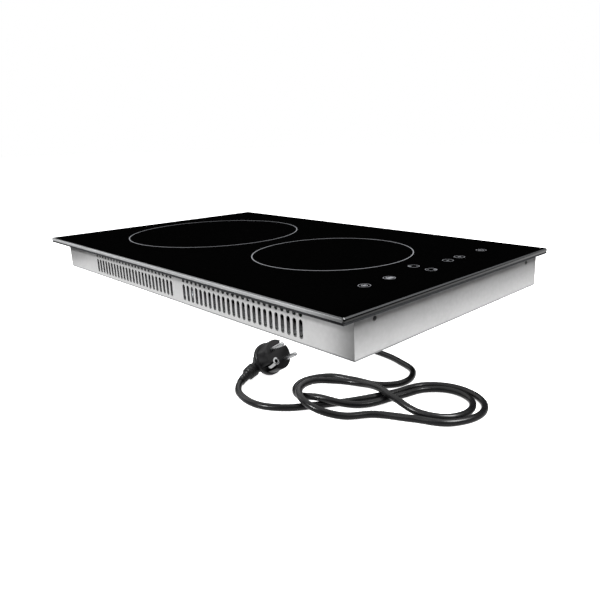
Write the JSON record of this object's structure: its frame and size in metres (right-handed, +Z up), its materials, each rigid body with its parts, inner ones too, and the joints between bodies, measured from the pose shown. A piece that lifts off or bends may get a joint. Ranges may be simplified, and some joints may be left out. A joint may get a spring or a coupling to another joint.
{
  "type": "built-in induction cooktop",
  "caption": "Narrow built-in induction cooktop: black glass plate on a shallow vented steel tray, cooking zones front and rear, touch controls at the front, loose mains lead with a two-pin earthed plug.",
  "frame": {"origin": "centre of the glass in plan, at the worktop surface that carries the rim seal", "axes": "+X to the user's right, +Y away from the user towards the back, +Z up out of the worktop"},
  "size_m": [0.3, 0.516, 0.1405],
  "materials": {
    "black_glass_ceramic": "polished black glass ceramic",
    "seal_foam": "closed-cell foam seal",
    "silicone_bond": "cured silicone",
    "tray_steel": "light grey zinc-coated sheet, satin",
    "base_steel": "light grey zinc-coated sheet, satin",
    "screw_steel": "zinc-plated steel",
    "aluminium_plate": "mill-finish aluminium",
    "carrier_plastic": "heat-resistant moulding",
    "copper_litz": "enamelled copper litz",
    "ferrite": "sintered ferrite",
    "insulation_felt": "ceramic fibre felt",
    "sensor_plastic": "white ceramic",
    "spring_steel": "bright spring steel",
    "lead_insulation": "silicone sleeve",
    "insulating_film": "insulating film",
    "circuit_board": "green solder mask",
    "white_nylon": "nylon",
    "heatsink_aluminium": "extruded aluminium",
    "device_epoxy": "moulded epoxy",
    "capacitor_box": "glossy potted box",
    "relay_case": "glossy case",
    "fuse_ceramic": "ceramic tube with metal ends",
    "transformer_tape": "taped bobbin",
    "capacitor_sleeve": "shrink sleeve",
    "terminal_brass": "tinned brass",
    "display_plastic": "dark display window",
    "ribbon_pvc": "grey ribbon",
    "fan_plastic": "black moulding",
    "shaft_steel": "ground steel",
    "bearing_bronze": "sintered bronze",
    "cord_rubber": "satin black rubber",
    "plug_metal": "nickel-plated brass"
  },
  "bodies": {
    "hob": {"glass_top": "black_glass_ceramic", "rim_seal": "seal_foam", "glass_bond": "silicone_bond", "side_frame": "tray_steel", "base_plate": "base_steel", "base_screws": "screw_steel", "bracket_nuts": "screw_steel", "coil_plate": "aluminium_plate", "pillars": "screw_steel", "inner_screws": "screw_steel", "rear_springs": "spring_steel", "rear_leads": "lead_insulation", "front_springs": "spring_steel", "front_leads": "lead_insulation", "insulation_sheet": "insulating_film", "power_board": "circuit_board", "board_posts": "white_nylon", "heatsink": "heatsink_aluminium", "power_transistors": "device_epoxy", "bridge_rectifiers": "device_epoxy", "film_capacitors": "capacitor_box", "choke_core": "ferrite", "choke_winding": "copper_litz", "relay": "relay_case", "fuse": "fuse_ceramic", "board_transformer": "transformer_tape", "electrolytic_capacitors": "capacitor_sleeve", "board_connectors": "white_nylon", "coil_terminals": "terminal_brass", "terminal_block": "white_nylon", "core_wires": "lead_insulation", "control_carrier": "white_nylon", "control_board": "circuit_board", "touch_springs": "spring_steel", "display_module": "display_plastic", "ribbon_cable": "ribbon_pvc", "fan_housing": "fan_plastic", "fan_cover": "fan_plastic", "fan_stator": "copper_litz", "fan_bearings": "bearing_bronze", "cord_bushing": "cord_rubber", "cord_clamp": "white_nylon", "cable_tail": "cord_rubber", "power_cord": "cord_rubber", "plug_relief": "cord_rubber", "plug_body": "cord_rubber", "plug_pins": "plug_metal", "plug_earth_clips": "plug_metal"},
    "rear_coil": {"rear_coil_carrier": "carrier_plastic", "rear_coil_winding": "copper_litz", "rear_ferrites": "ferrite", "rear_pad": "insulation_felt", "rear_sensor": "sensor_plastic"},
    "front_coil": {"front_coil_carrier": "carrier_plastic", "front_coil_winding": "copper_litz", "front_ferrites": "ferrite", "front_pad": "insulation_felt", "front_sensor": "sensor_plastic"},
    "fan_wheel": {"fan_rotor": "fan_plastic", "fan_shaft": "shaft_steel"}
  },
  "joints": [
    {"name": "fan_spin", "type": "hinge", "parent": "hob", "child": "fan_wheel", "pos_m": [-0.074, 0.165, -0.021], "axis": [0, 0, 1], "continuous": true},
    {"name": "rear_coil_float", "type": "slide", "parent": "hob", "child": "rear_coil", "axis": [0, 0, -1], "range_m": [0, 0.0015], "stiffness_N_per_m": 3000, "springref_m": -0.003, "deforming": ["rear_springs", "rear_leads"]},
    {"name": "front_coil_float", "type": "slide", "parent": "hob", "child": "front_coil", "axis": [0, 0, -1], "range_m": [0, 0.0015], "stiffness_N_per_m": 3000, "springref_m": -0.003, "deforming": ["front_springs", "front_leads"]}
  ]
}
